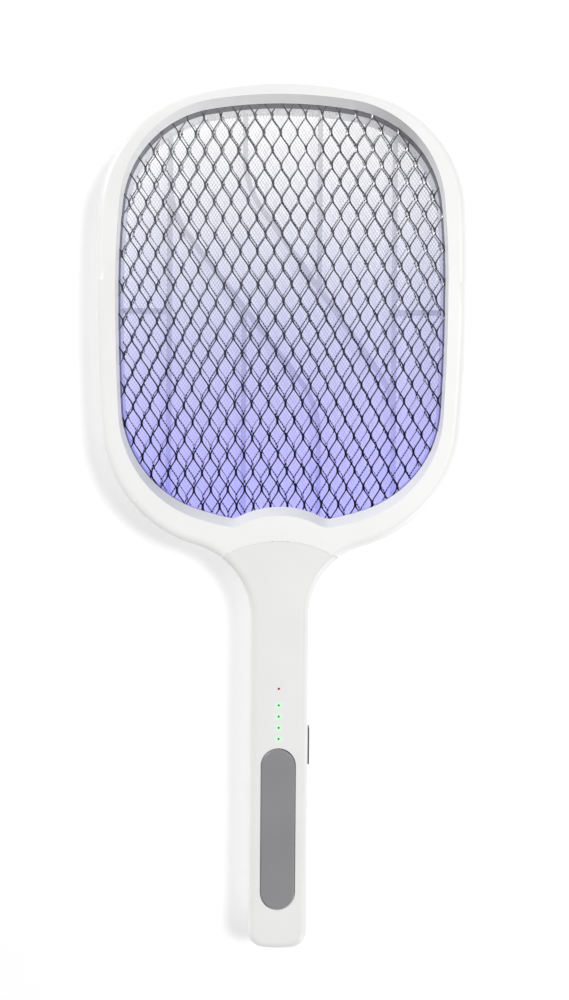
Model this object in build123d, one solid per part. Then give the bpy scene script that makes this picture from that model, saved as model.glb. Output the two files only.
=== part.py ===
"""Electric fly swatter: a mesh head, a flared neck and a handle with a press button and a side switch.

X is the width, Y runs along the handle towards the head, and Z points out of the front face.
The origin is under the middle of the length and width, on the plane that the back rests on.
All sizes are millimetres.
"""

from build123d import *
import math
import os

# Overall sizes
total_length = 500.0
head_width = 214.4
handle_width = 33.6

# Walls and shared clearances
wall = 2.0
edge_round = 5.0
seam_gap = 0.25
fit_gap = 0.3

# Head outline, as tangent arcs above and below its widest line. Each corner's radius is half
# the width less its inset.
top_rise = 115.0
top_radius = 200.0
top_corner_inset = 34.6
upper_side_radius = 1000.0
bottom_drop = 155.4
bottom_corner_inset = 30.2
lower_side_radius = 1100.0
neck_radius = 43.0

# Handle end
end_corner_radius = 9.5
end_bow_radius = 80.0

# Mesh opening, as tangent arcs with a low bump over the lamp
rim_width = 11.7
opening_rise = 105.6
opening_top_radius = 252.0
opening_top_inset = 34.2
opening_upper_side = 480.0
opening_drop = 139.4
opening_bottom_radius = 155.0
opening_bottom_inset = 29.8
opening_lower_side = 1280.0
bump_height = 9.4
bump_radius = 53.0
bump_valley_radius = 8.0

# The front lip widens from the mesh opening to the front face by these amounts
lip_side = 0.3
lip_top = 1.7
lip_bottom = 5.0

# Seam between head and handle
seam_radius = 64.0
seam_drop = 149.9

# Mesh stack, from the back
rear_recess = 4.5
guard_thickness = 2.7
mesh_thickness = 0.8
inner_mesh_thickness = 0.6
spacer_height = 6.6
mesh_grip = 3.0
mesh_pitch_x = 9.9
mesh_pitch_y = 19.8
mesh_strand = 1.1
mesh_rim = 1.0

# Rear guard ribs
rib_width = 3.0
rib_pitch = 45.0
rib_stub_drop = 13.0
sweep_radius = 51.0
left_sweep_angle = 38.0
left_sweep_middle = -10.8
right_sweep_angle = 36.0
right_sweep_middle = 1.0

# Press button
button_width = 19.6
button_length = 92.3
button_end_distance = 23.7
button_proud = 0.8
button_round = 0.6
button_travel = 1.0
button_flange = 1.2
flange_thickness = 1.5
button_gap = 0.35
switch_stack = 5.9
push_switch_size = 6.0
push_switch_height = 3.2
plunger_radius = 1.75
plunger_gap = 0.08
plunger_hold = 1.6
spring_radius = 2.5
spring_wire = 0.5
spring_spacing = 62.0

# Side slide switch
knob_length = 21.8
knob_height = 5.8
knob_proud = 1.3
knob_travel = 4.0
knob_end_distance = 114.6
knob_flange = 1.4
knob_flange_thickness = 1.1
slide_can_width = 4.6
slide_can_length = 9.0
slide_can_height = 4.6
lever_width = 2.0
lever_height = 1.6
lever_reach = 2.0

# Indicators
indicator_radius = 0.6
red_end_distance = 150.5
green_end_distance = 141.0
green_pitch = 6.45
green_count = 4
chip_length = 1.6
chip_width = 0.8
pipe_bar_width = 3.0
pipe_bar_thickness = 1.2

# Power and circuit
cell_diameter = 18.4
cell_length = 65.0
cell_gap = 0.3
cell_end_distance = 29.0
cradle_shares = (0.15, 0.5, 0.85)
tab_width = 6.0
tab_sheet = 0.3
board_thickness = 1.6
board_length = 176.0
board_side_gap = 0.8
core_width = 14.0
core_length = 12.0
core_height = 11.0
core_leg = 4.0
core_end_distance = 140.0
capacitor_width = 5.0
capacitor_length = 11.0
capacitor_height = 9.0
diode_radius = 1.35
diode_length = 5.0
resistor_radius = 1.15
resistor_length = 6.0
lead_radius = 0.35
lead_length = 2.5
transistor_radius = 2.4
transistor_height = 5.0
transistor_flat = 1.2
part_round = 0.8
resistor_spacing = 8.0
diode_spacing = 6.0
diode_setback = 8.0
resistor_setback = 20.0
socket_width = 8.94
socket_height = 3.26
socket_depth = 7.35
socket_sheet = 0.3
socket_back = 1.2
tongue_width = 6.7
tongue_thickness = 0.7
tongue_setback = 1.0
wire_radius = 0.6
notch_width = 11.0
notch_below = 5.0
notch_above = 4.0
mesh_wire_side = 7.0
mesh_wire_board_end = 4.0
mesh_wire_inset = 4.6
mesh_wire_drop = 5.0
mesh_wire_climb = 1.2
mesh_wire_turn = 23.0
mesh_wire_dip = 0.4
mesh_wire_reach = 3.2
mesh_wire_end = 29.0
mesh_wire_bends = (20.0, 1.6, 5.0)
lamp_wire_board_end = 3.0
lamp_wire_run = 8.0
lamp_wire_bends = (12.0, 20.0)

# Lamp
lamp_width = 40.0
lens_thickness = 1.5
lamp_board_thickness = 1.2
lamp_led_size = 5.0
lamp_led_height = 1.6
lamp_led_count = 4
lens_setback = 10.0

# Screws
boss_radius = 3.2
boss_bite = 0.3
screw_end_distance = 16.5
screw_board_distance = 10.0
lug_screw_distance = 6.0
pilot_extra = 1.0
screw_radius = 1.1
screw_length = 17.0
head_radius = 2.3
head_height = 1.8
counterbore_radius = 2.7
counterbore_depth = 7.0
thread_gap = 0.05
lug_width = 13.0
lug_thickness = 4.0
lug_length = 24.0
lug_spacing = 27.0
lug_gap = 0.3

# Heights that follow from the pieces stacked inside
board_bottom = wall + cell_diameter + cell_gap
board_top = board_bottom + board_thickness
button_underside = board_top + switch_stack
thickness = button_underside + flange_thickness + fit_gap + wall
parting = thickness / 2
guard_bottom = rear_recess
rear_mesh_bottom = guard_bottom + guard_thickness
rear_spacer_bottom = rear_mesh_bottom + mesh_thickness
inner_mesh_bottom = rear_spacer_bottom + spacer_height
front_spacer_bottom = inner_mesh_bottom + inner_mesh_thickness
front_mesh_bottom = front_spacer_bottom + spacer_height
lip_bottom_height = front_mesh_bottom + mesh_thickness

# Places along the length
head_top = total_length / 2
handle_end = -total_length / 2
widest = head_top - top_rise
half_handle = handle_width / 2
inner_half = half_handle - wall
seam_centre = widest - seam_drop - seam_radius
button_middle = handle_end + button_end_distance + button_length / 2
knob_middle = handle_end + knob_end_distance
cell_low = handle_end + cell_end_distance
board_low = handle_end + wall + fit_gap
board_high = board_low + board_length
screw_side = inner_half - boss_radius + boss_bite
screw_low = handle_end + screw_end_distance
screw_high = board_high - screw_board_distance
lug_low = widest - seam_drop - lug_length
lug_screw = lug_low + lug_screw_distance


def point_at(centre, radius, degrees):
    """Point on a circle, as plain numbers."""
    angle = math.radians(degrees)
    return (centre[0] + radius * math.cos(angle), centre[1] + radius * math.sin(angle))


def heading(start, end):
    """Direction from one point to another, in degrees."""
    return math.degrees(math.atan2(end[1] - start[1], end[0] - start[0]))


def crossing(first, first_radius, second, second_radius, way):
    """Point where two circles cross, on the right-hand side, high if way is 1 and low if it is -1."""
    dx, dy = second[0] - first[0], second[1] - first[1]
    gap = math.hypot(dx, dy)
    along = (first_radius**2 - second_radius**2 + gap**2) / (2 * gap)
    aside = math.sqrt(first_radius**2 - along**2)
    options = [
        (first[0] + (along * dx + side * aside * dy) / gap, first[1] + (along * dy - side * aside * dx) / gap)
        for side in (-1, 1)
    ]
    return max(options, key=lambda spot: spot[0] + way * spot[1])


def quarter(half_width, reach, end_radius, corner_radius, side_radius, way):
    """Three tangent arcs from an end's middle to the widest line, each (centre, radius, from, to)."""
    end = (0.0, widest + way * (reach - end_radius))
    side = (half_width - side_radius, widest)
    corner = crossing(end, end_radius - corner_radius, side, side_radius - corner_radius, way)
    meets_end = heading(end, corner)
    meets_side = heading(side, corner)
    return [
        (end, end_radius, 90.0 * way, meets_end),
        (corner, corner_radius, meets_end, meets_side),
        (side, side_radius, meets_side, 0.0),
    ]


def reversed_arcs(arcs):
    """The same arcs followed the other way."""
    return [(centre, radius, stop, start) for centre, radius, start, stop in reversed(arcs)]


def half_edges(arcs, growth, hollow_arcs, side):
    """Edges of one half of an outline; side is 1 for the right half and -1 for the left."""
    edges = []
    last = None
    for number, (centre, radius, start, stop) in enumerate(arcs):
        size = radius - growth if number in hollow_arcs else radius + growth
        spots = [point_at(centre, size, angle) for angle in (start, (start + stop) / 2, stop)]
        first, middle, final = [(side * x, y) for x, y in spots]
        if last and math.dist(last, first) > 0.01:
            edges.append(Line(last, first))
        edges.append(ThreePointArc(first, middle, final))
        last = final
    return edges


def closed_face(arcs, growth, hollow_arcs=()):
    """Face bounded by the right-hand arcs and their mirror image, grown outwards by growth.

    hollow_arcs holds the numbers of the arcs that curve into the face, which shrink as it grows.
    """
    right = half_edges(arcs, growth, hollow_arcs, 1)
    left = half_edges(arcs, growth, hollow_arcs, -1)
    return Face(Wire(right + left))


def racket_arcs():
    """Right-hand outline of the whole racket, from the top of the head to the end of the handle."""
    half = head_width / 2
    top_corner_radius = half - top_corner_inset
    bottom_corner_radius = half - bottom_corner_inset
    arcs = quarter(half, top_rise, top_radius, top_corner_radius, upper_side_radius, 1)
    side = (half - lower_side_radius, widest)
    corner_y = widest - bottom_drop + bottom_corner_radius
    reach = lower_side_radius - bottom_corner_radius
    corner = (side[0] + math.sqrt(reach**2 - (widest - corner_y) ** 2), corner_y)
    neck_x = half_handle + neck_radius
    reach = bottom_corner_radius + neck_radius
    neck = (neck_x, corner_y - math.sqrt(reach**2 - (neck_x - corner[0]) ** 2))
    bow = (0.0, handle_end + end_bow_radius)
    end_x = half_handle - end_corner_radius
    end = (end_x, bow[1] - math.sqrt((end_bow_radius - end_corner_radius) ** 2 - end_x**2))
    return arcs + [
        (side, lower_side_radius, 0.0, heading(side, corner)),
        (corner, bottom_corner_radius, heading(side, corner), heading(corner, neck)),
        (neck, neck_radius, heading(neck, corner), 180.0),
        (end, end_corner_radius, 0.0, heading(bow, end)),
        (bow, end_bow_radius, heading(bow, end), -90.0),
    ]


def racket_face(inset=0.0):
    """Outline of the whole racket, moved in by inset."""
    return closed_face(racket_arcs(), -inset, hollow_arcs=(5,))


def opening_arcs(side, top, bottom):
    """Right-hand outline of the mesh opening, widened by these amounts, with the bump at its foot."""
    half = head_width / 2 - rim_width
    upper = quarter(half + side, opening_rise + top, opening_top_radius + top,
                    half - opening_top_inset + top, opening_upper_side, 1)
    lower = quarter(half + side, opening_drop + bottom, opening_bottom_radius + bottom,
                    half - opening_bottom_inset + side, opening_lower_side, -1)
    foot = lower[0][0]
    foot_radius = opening_bottom_radius + bottom
    bump = (0.0, widest - opening_drop + bump_height - bump_radius)
    bump_size = bump_radius - bottom
    valley_radius = bump_valley_radius + bottom
    valley = crossing(foot, foot_radius - valley_radius, bump, bump_size + valley_radius, -1)
    arcs = upper + reversed_arcs(lower)
    arcs[-1] = (foot, foot_radius, arcs[-1][2], heading(foot, valley))
    arcs.append((valley, valley_radius, heading(foot, valley), heading(valley, bump)))
    arcs.append((bump, bump_size, heading(bump, valley), 90.0))
    return arcs


def opening_face(growth=0.0, side=0.0, top=0.0, bottom=0.0):
    """Mesh opening, grown evenly by growth, or widened by its own amount at each side."""
    return closed_face(opening_arcs(side, top, bottom), growth, hollow_arcs=(7,))


def slab(face, low, high):
    """A flat face raised between two heights."""
    return Pos(0, 0, low) * extrude(face, amount=high - low, dir=(0, 0, 1))


def block(x_range, y_range, z_range):
    """Box between two corners."""
    size = [abs(b - a) for a, b in (x_range, y_range, z_range)]
    middle = [(a + b) / 2 for a, b in (x_range, y_range, z_range)]
    return Pos(*middle) * Box(*size)


def rod(x, y, low, high, radius):
    """Upright cylinder."""
    return Pos(x, y, (low + high) / 2) * Cylinder(radius, high - low)


def head_side(growth=0.0):
    """Everything on the head's side of the seam, as a tall block; growth moves the seam to the handle."""
    big = block((-head_width, head_width), (seam_centre, head_top + wall), (-wall, thickness + wall))
    return big - rod(0, seam_centre, -2 * wall, thickness + 2 * wall, seam_radius - growth)


def handle_side(growth=0.0):
    """Everything on the handle's side of the seam, as a tall block; growth moves the seam to the head."""
    reach = seam_radius + growth
    round_end = rod(0, seam_centre, -wall, thickness + wall, reach)
    return round_end + block((-reach, reach), (handle_end - wall, seam_centre), (-wall, thickness + wall))


def racket_half(is_front, inset=0.0):
    """Solid of the front or rear half of the whole racket, moved in by inset, its outer edge rounded."""
    low = parting if is_front else inset
    high = thickness - inset if is_front else parting
    half = slab(racket_face(inset), low, high)
    flat = half.faces().sort_by(Axis.Z)[-1 if is_front else 0]
    return fillet(flat.outer_wire().edges(), edge_round - inset)


def ring_screw_spots():
    """Centres of the screws round the head ring: upper corners, sides and lower corners."""
    arcs = racket_arcs()
    inset = wall + boss_radius - boss_bite
    spots = []
    for arc, degrees in ((arcs[1], 25.0), (arcs[2], 0.0), (arcs[4], -40.0)):
        x, y = point_at(arc[0], arc[1] - inset, degrees)
        spots += [(x, y), (-x, y)]
    return spots


def lug_spots():
    """Centres of the two screws that pass through the neck lugs."""
    return [(side * lug_spacing / 2, lug_screw) for side in (-1, 1)]


def shell_screw_spots():
    """Centres of the other handle screws."""
    return [(side * screw_side, y) for y in (screw_low, screw_high) for side in (-1, 1)]


def screw_group(spots):
    """Pan-head screws driven from the back."""
    seat = counterbore_depth
    shank = [rod(x, y, seat, seat + screw_length, screw_radius) for x, y in spots]
    heads = [rod(x, y, seat - head_height, seat, head_radius) for x, y in spots]
    return Compound(children=[a + b for a, b in zip(shank, heads)])


def with_front_bosses(body, spots):
    """Adds blind screw bosses under the front face."""
    for x, y in spots:
        body += rod(x, y, parting, thickness - wall / 2, boss_radius)
    for x, y in spots:
        body -= rod(x, y, parting - wall, counterbore_depth + screw_length + pilot_extra, screw_radius + thread_gap)
    return body


def with_rear_bosses(body, spots):
    """Adds bosses on the back, counterbored for the screw heads."""
    for x, y in spots:
        body += rod(x, y, wall / 2, parting, boss_radius)
    for x, y in spots:
        body -= rod(x, y, -wall, counterbore_depth, counterbore_radius)
        body -= rod(x, y, -wall, parting + wall, screw_radius + fit_gap)
    return body


def lugs(low, high):
    """Two flat lugs that carry the head in the neck."""
    root = widest - seam_drop + wall / 2
    body = []
    for x, y in lug_spots():
        plate = block((x - lug_width / 2, x + lug_width / 2), (lug_low, root), (low, high))
        plate &= slab(racket_face(wall + lug_gap), low, high)
        plate -= rod(x, y, low - wall, high + wall, boss_radius + lug_gap)
        body.append(plate)
    return body


def wire_notch():
    """Way for the wires through the end wall of the head."""
    half = notch_width / 2
    reach = (seam_centre, widest - seam_drop + 2 * wall)
    return block((-half, half), reach, (parting - notch_below, parting + notch_above))


def front_frame():
    """Front half of the head ring: outer wall, front face and a lip that slopes in to the mesh."""
    body = racket_half(True) & head_side(-seam_gap)
    cavity = racket_half(True, wall) & head_side(-seam_gap - wall)
    lip = slab(opening_face(wall, lip_side, lip_top, lip_bottom), lip_bottom_height, thickness)
    body -= cavity - lip
    body -= loft([
        Pos(0, 0, lip_bottom_height) * opening_face(),
        Pos(0, 0, thickness) * opening_face(0, lip_side, lip_top, lip_bottom),
    ], ruled=True)
    body = with_front_bosses(body, ring_screw_spots())
    body -= slab(opening_face(mesh_grip + fit_gap), parting - wall, lip_bottom_height)
    for lug in lugs(parting, parting + lug_thickness):
        body += lug
    return body - wire_notch()


def rear_frame():
    """Rear half of the head ring: outer wall, back face and a ledge that carries the mesh stack."""
    body = racket_half(False) & head_side(-seam_gap)
    cavity = racket_half(False, wall) & head_side(-seam_gap - wall)
    ledge = slab(opening_face(mesh_grip + fit_gap + wall), 0, guard_bottom)
    body -= cavity - ledge
    body -= loft([
        Pos(0, 0, guard_bottom) * opening_face(),
        opening_face(0, lip_side, lip_top, lip_top),
    ], ruled=True)
    body = with_rear_bosses(body, ring_screw_spots())
    body -= slab(opening_face(mesh_grip + fit_gap), guard_bottom, parting + wall)
    for lug in lugs(parting - lug_thickness, parting):
        body += lug
    return body - wire_notch()


def sweep_rib(x, angle, middle):
    """S-shaped rib, from the upright at x to the upright two places over; middle is its mid-height."""
    turn = math.radians(angle)
    across = 2 * rib_pitch
    run = (across - 2 * sweep_radius * (1 - math.cos(turn))) / math.sin(turn)
    rise = 2 * sweep_radius * math.sin(turn) + run * math.cos(turn)
    top = (x, middle + rise / 2)
    foot = (x + across, middle - rise / 2)
    first = (top[0] + sweep_radius, top[1])
    second = (foot[0] - sweep_radius, foot[1])
    bend = ThreePointArc(
        top,
        point_at(first, sweep_radius, 180 + angle / 2),
        point_at(first, sweep_radius, 180 + angle),
    )
    back = ThreePointArc(
        point_at(second, sweep_radius, angle),
        point_at(second, sweep_radius, angle / 2),
        foot,
    )
    line = Wire([bend, Line(bend @ 1, back @ 0), back])
    return top, foot, trace(line, rib_width)


def upright(x, high, low):
    """Straight rib along Y."""
    return Pos(x, (high + low) / 2) * Rectangle(rib_width, high - low)


def rear_guard():
    """Rib grille behind the rear mesh: a hidden band, four uprights, two S-shaped ribs, two side stubs."""
    inner, outer = rib_pitch / 2, 1.5 * rib_pitch
    left_top, left_foot, left_rib = sweep_rib(-outer, left_sweep_angle, widest + left_sweep_middle)
    right_top, right_foot, right_rib = sweep_rib(-inner, right_sweep_angle, widest + right_sweep_middle)
    cross_left = widest + left_sweep_middle
    cross_right = widest + right_sweep_middle
    low = widest - opening_drop - mesh_grip * 2
    stub = Pos(0, widest - rib_stub_drop) * Rectangle(head_width, rib_width)
    stub -= Pos(0, widest - rib_stub_drop) * Rectangle(2 * outer, 2 * rib_width)
    ribs = [
        left_rib, right_rib, stub,
        upright(-outer, head_top, low),
        upright(-inner, head_top, right_top[1]),
        upright(-inner, cross_left, low),
        upright(inner, head_top, cross_right),
        upright(inner, left_foot[1], low),
        upright(outer, head_top, low),
    ]
    grille = ribs[0]
    for rib in ribs[1:]:
        grille += rib
    band = slab(opening_face(mesh_grip) - opening_face(thread_gap), guard_bottom, rear_mesh_bottom)
    return band + slab(grille & opening_face(mesh_grip / 2), guard_bottom, rear_mesh_bottom)


def mesh_holes(region, shift):
    """Diamond openings of expanded metal over the whole region, the pattern moved along Y by shift."""
    half_x, half_y = mesh_pitch_x / 2, mesh_pitch_y / 2
    share = 1 - mesh_strand / 2 * math.hypot(half_x, half_y) / (half_x * half_y)
    corners = [(half_x * share, 0), (0, half_y * share), (-half_x * share, 0), (0, -half_y * share)]
    box = region.bounding_box()
    rows = math.ceil((box.max.Y - box.min.Y) / half_y)
    columns = math.ceil(box.max.X / mesh_pitch_x)
    holes = []
    for row in range(rows + 2):
        y = box.min.Y + row * half_y - shift
        odd = half_x if row % 2 else 0.0
        for column in range(-columns - 1, columns + 1):
            x = column * mesh_pitch_x + odd
            holes.append(Face(Polyline([(x + dx, y + dy) for dx, dy in corners], close=True)))
    return holes


def expanded_mesh(low, high, shift=0.0):
    """Sheet of expanded metal with a plain rim, cut to the shape of the mesh opening."""
    region = opening_face(mesh_grip - mesh_rim)
    holes = []
    for hole in mesh_holes(region, shift):
        inside = [region.is_inside(corner) for corner in hole.vertices()]
        if all(inside):
            holes.append(hole)
        elif any(inside):
            holes += [face for face in (region & hole).faces() if face.area > mesh_strand**2]
    sheet = opening_face(mesh_grip)
    return slab(Face(sheet.outer_wire(), [hole.outer_wire() for hole in holes]), low, high)


def spacer(low, high):
    """Insulating ring between two meshes, flush with the mesh opening."""
    return slab(opening_face(mesh_grip) - opening_face(), low, high) - lamp_window(low, high)


def lamp_window(low, high):
    """Gap in a spacer that lets the lamp shine between the meshes."""
    foot = widest - opening_drop
    return block((-lamp_width / 2, lamp_width / 2), (foot - 2 * mesh_grip, foot + 2 * bump_height), (low, high))


def lamp_plate(setback, depth, low, high):
    """Upright plate behind the bump, set back from the bump's edge."""
    top = widest - opening_drop + bump_height - setback
    return block((-lamp_width / 2, lamp_width / 2), (top - depth, top), (low, high))


def lamp_lens():
    """Clear strip that the lamp shines through, between the ledge and the lip."""
    return lamp_plate(lens_setback, lens_thickness, guard_bottom, lip_bottom_height)


def lamp_board_setback():
    """Distance from the bump's edge back to the lamp board."""
    return lens_setback + lens_thickness + lamp_led_height + 2 * fit_gap


def lamp_board():
    """Strip of circuit board that carries the lamp's diodes, as tall as the space inside the head."""
    return lamp_plate(lamp_board_setback(), lamp_board_thickness, wall, thickness - wall)


def lamp_leds():
    """Row of flat light-emitting diodes on the lamp board, shining at the meshes."""
    low = widest - opening_drop + bump_height - lamp_board_setback()
    pitch = lamp_width / lamp_led_count
    half = lamp_led_size / 2
    row = []
    for number in range(lamp_led_count):
        x = (number - (lamp_led_count - 1) / 2) * pitch
        row.append(block((x - half, x + half), (low, low + lamp_led_height), (parting - half, parting + half)))
    return Compound(children=row)


def stadium(length, width, growth=0.0):
    """Long round-ended outline along Y."""
    return SlotOverall(length + 2 * growth, width + 2 * growth, rotation=90).face()


def button_shape(growth, low, high):
    """The press button's outline, grown by growth and raised between two heights."""
    return slab(Pos(0, button_middle) * stadium(button_length, button_width, growth), low, high)


def knob_slot():
    """Slot in the right-hand side for the slide knob and its travel."""
    half = knob_height / 2 + fit_gap
    low = knob_middle - knob_length / 2 - fit_gap
    high = knob_middle + knob_length / 2 + knob_travel + fit_gap
    return block((inner_half - wall, half_handle + wall), (low, high), (parting - half, parting + half))


def indicator_spots():
    """Places of the green indicators, in order from the handle's end."""
    return [handle_end + green_end_distance - number * green_pitch for number in range(green_count)]


def port_hole():
    """Opening for the charging socket in the handle's end."""
    return socket_shape(fit_gap / 2, handle_end - wall, handle_end + 2 * wall)


def socket_shape(growth, low, high):
    """Flat round-ended tube outline of the charging socket, along Y."""
    outline = SlotOverall(socket_width + 2 * growth, socket_height + 2 * growth).face()
    middle = board_bottom - socket_height / 2
    tube = extrude(Plane.XZ * outline, amount=high - low, dir=(0, 1, 0))
    return Pos(0, low, middle) * tube


def handle_front_shell():
    """Front of the neck and handle, with openings for the button, knob, indicators and socket."""
    body = racket_half(True) & handle_side()
    body -= racket_half(True, wall)
    body = with_front_bosses(body, lug_spots() + shell_screw_spots())
    body -= button_shape(button_gap, thickness - 2 * wall, thickness + wall)
    for y in indicator_spots() + [handle_end + red_end_distance]:
        body -= rod(0, y, thickness - 2 * wall, thickness + wall, indicator_radius + thread_gap)
    return body - knob_slot() - port_hole()


def cradle_rib(y):
    """Cross rib with a round hollow that holds the cell."""
    plate = block((-inner_half - wall / 2, inner_half + wall / 2), (y, y + wall), (wall / 2, cell_height()))
    bed = Pos(0, y + wall / 2, cell_height()) * Rot(90, 0, 0) * Cylinder(cell_diameter / 2 + cell_gap / 2, 3 * wall)
    return plate - bed


def cell_height():
    """Height of the cell's axis."""
    return wall + cell_gap / 2 + cell_diameter / 2


def handle_rear_shell():
    """Back of the neck and handle, with screw bosses and a cradle for the cell."""
    body = racket_half(False) & handle_side()
    body -= racket_half(False, wall)
    for share in cradle_shares:
        body += cradle_rib(cell_low + share * cell_length)
    body = with_rear_bosses(body, lug_spots() + shell_screw_spots())
    return body - knob_slot()


def shock_button():
    """Press button: a round-ended paddle with a hidden flange that keeps it in the handle."""
    cap = button_shape(0.0, button_underside, thickness + button_proud)
    rim = cap.faces().sort_by(Axis.Z)[-1].outer_wire().edges()
    cap = fillet(rim, button_round)
    return cap + button_shape(button_flange, button_underside, button_underside + flange_thickness)


def push_switch():
    """Square push switch on the circuit board, bored for its plunger."""
    half = push_switch_size / 2
    top = board_top + push_switch_height
    y = button_middle
    body = block((-half, half), (y - half, y + half), (board_top, top))
    return body - rod(0, y, top - plunger_depth(), top + wall, plunger_radius + plunger_gap)


def plunger_depth():
    """Depth of the plunger's bore."""
    return button_travel + plunger_hold


def push_plunger():
    """Round plunger between the button and the push switch."""
    top = board_top + push_switch_height
    return rod(0, button_middle, top - plunger_depth() + button_travel + fit_gap, button_underside, plunger_radius)


def button_springs():
    """Two return springs between the board and the button, as plain tubes of the coils' size."""
    springs = []
    for side in (-1, 1):
        y = button_middle + side * spring_spacing / 2
        tube = rod(0, y, board_top, button_underside, spring_radius)
        springs.append(tube - rod(0, y, board_top - wall, button_underside + wall, spring_radius - spring_wire))
    return Compound(children=springs)


def slide_knob():
    """Side knob with a hidden flange that covers its slot."""
    half = knob_length / 2
    inside = inner_half - fit_gap
    depth = (inside - knob_flange_thickness / 2, half_handle + knob_proud)
    tall = knob_height / 2
    grip = block(depth, (knob_middle - half, knob_middle + half), (parting - tall, parting + tall))
    face = grip.faces().sort_by(Axis.X)[-1]
    grip = fillet(face.outer_wire().edges(), knob_proud / 2)
    tall += knob_flange
    half += knob_flange
    back = (inside - knob_flange_thickness, inside)
    return grip + block(back, (knob_middle - half, knob_middle + half), (parting - tall, parting + tall))


def lever_level():
    """Height of the slide switch's lever."""
    return board_bottom - slide_can_height / 2


def lever_tip():
    """How far out the lever reaches, where it meets the knob."""
    return inner_half - fit_gap - knob_flange_thickness


def slide_switch():
    """Slide switch in a small metal can, hung under the board beside the knob."""
    right = lever_tip() - lever_reach
    half = slide_can_length / 2
    low = knob_middle + knob_travel / 2
    tall = (board_bottom - slide_can_height, board_bottom)
    body = block((right - slide_can_width, right), (low - half, low + half), tall)
    reach = (lever_width + knob_travel) / 2 + fit_gap
    level = lever_level()
    tall = lever_height / 2 + fit_gap / 2
    return body - block((right - lever_reach, right + wall), (low - reach, low + reach), (level - tall, level + tall))


def slide_lever():
    """The switch's lever, which the knob carries along."""
    level, tip = lever_level(), lever_tip()
    half, tall = lever_width / 2, lever_height / 2
    low = tip - 2 * lever_reach + fit_gap
    return block((low, tip), (knob_middle - half, knob_middle + half), (level - tall, level + tall))


def light_pipe(spots):
    """Clear pins under their surface holes, joined by one bar inside the shell."""
    top = thickness - wall
    half = pipe_bar_width / 2
    bar = block((-half, half), (min(spots) - half, max(spots) + half), (top - pipe_bar_thickness, top))
    for y in spots:
        bar += rod(0, y, board_top + chip_width + fit_gap, thickness, indicator_radius)
    return bar


def red_light_pipe():
    """Light pipe of the red indicator."""
    return light_pipe([handle_end + red_end_distance])


def green_light_pipe():
    """Light pipe of the four green indicators."""
    return light_pipe(indicator_spots())


def indicator_leds():
    """Surface-mounted diodes under the light pipes."""
    half = chip_length / 2
    thin = chip_width / 2
    return Compound(children=[
        block((-half, half), (y - thin, y + thin), (board_top, board_top + chip_width))
        for y in indicator_spots() + [handle_end + red_end_distance]
    ])


def circuit_board():
    """Main circuit board, notched round the screw bosses."""
    outline = racket_face(wall + board_side_gap)
    board = slab(outline, board_bottom, board_top)
    board &= block((-head_width, head_width), (board_low, board_high), (0, thickness))
    for x, y in shell_screw_spots():
        board -= rod(x, y, 0, thickness, boss_radius + fit_gap)
        side = math.copysign(inner_half, x)
        board -= block((x, side), (y - boss_radius - fit_gap, y + boss_radius + fit_gap), (0, thickness))
    return board


def core_middle():
    """Place of the transformer along the handle."""
    return handle_end + core_end_distance


def transformer_core():
    """Ferrite core: two windows either side of a centre leg."""
    y, top = core_middle(), board_bottom
    half, deep = core_width / 2, core_length / 2
    core = block((-half, half), (y - deep, y + deep), (top - core_height, top))
    yoke = core_leg / 2
    for side in (-1, 1):
        window = (side * core_leg / 2, side * (half - yoke))
        core -= block(window, (y - core_length, y + core_length), (top - core_height + yoke, top - yoke))
    return core


def transformer_coil():
    """Winding round the centre leg."""
    y, top = core_middle(), board_bottom
    gap = fit_gap / 2
    yoke = core_leg / 2
    half = core_width / 2 - yoke - gap
    deep = core_length / 2 + yoke
    height = (top - core_height + yoke + gap, top - yoke - gap)
    coil = block((-half, half), (y - deep, y + deep), height)
    leg = core_leg / 2 + gap
    inner = core_length / 2 + gap
    return coil - block((-leg, leg), (y - inner, y + inner), (0, thickness))


def storage_capacitors():
    """Two film capacitors that store the high voltage, under the board."""
    low = board_high - capacitor_length - 2 * fit_gap
    pair = []
    for side in (-1, 1):
        x = side * (capacitor_width / 2 + fit_gap)
        body = block((x - capacitor_width / 2, x + capacitor_width / 2), (low, low + capacitor_length),
                     (board_bottom - capacitor_height, board_bottom))
        pair.append(fillet(body.edges().filter_by(Axis.Z), part_round))
    return Compound(children=pair)


def axial_part(x, y, radius, length):
    """Small round component with a lead at each end, lying on the board."""
    lying = Rot(90, 0, 0)
    body = lying * Cylinder(radius, length)
    leads = lying * Cylinder(lead_radius, length + 2 * lead_length)
    return Pos(x, y, board_top + radius + thread_gap) * (body + leads)


def rectifier_diodes():
    """Three rectifier diodes in a row on the board."""
    y = board_high - diode_setback
    places = (-diode_spacing, 0.0, diode_spacing)
    return Compound(children=[axial_part(x, y, diode_radius, diode_length) for x in places])


def bleed_resistors():
    """Two resistors that drain the meshes when the button is let go."""
    y = board_high - resistor_setback
    places = (-resistor_spacing / 2, resistor_spacing / 2)
    return Compound(children=[axial_part(x, y, resistor_radius, resistor_length) for x in places])


def drive_transistor():
    """Small power transistor under the board, beside the transformer."""
    y = core_middle() - core_length
    top = board_bottom
    case = rod(0, y, top - transistor_height, top, transistor_radius)
    reach = 2 * transistor_radius
    return case & block((-reach, reach), (y - transistor_flat, y + reach), (0, thickness))


def battery_cell():
    """Round lithium cell lying along the handle."""
    lying = Rot(90, 0, 0)
    body = lying * Cylinder(cell_diameter / 2, cell_length)
    body = fillet(body.edges().filter_by(GeomType.CIRCLE), part_round)
    return Pos(0, cell_low + cell_length / 2, cell_height()) * body


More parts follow.
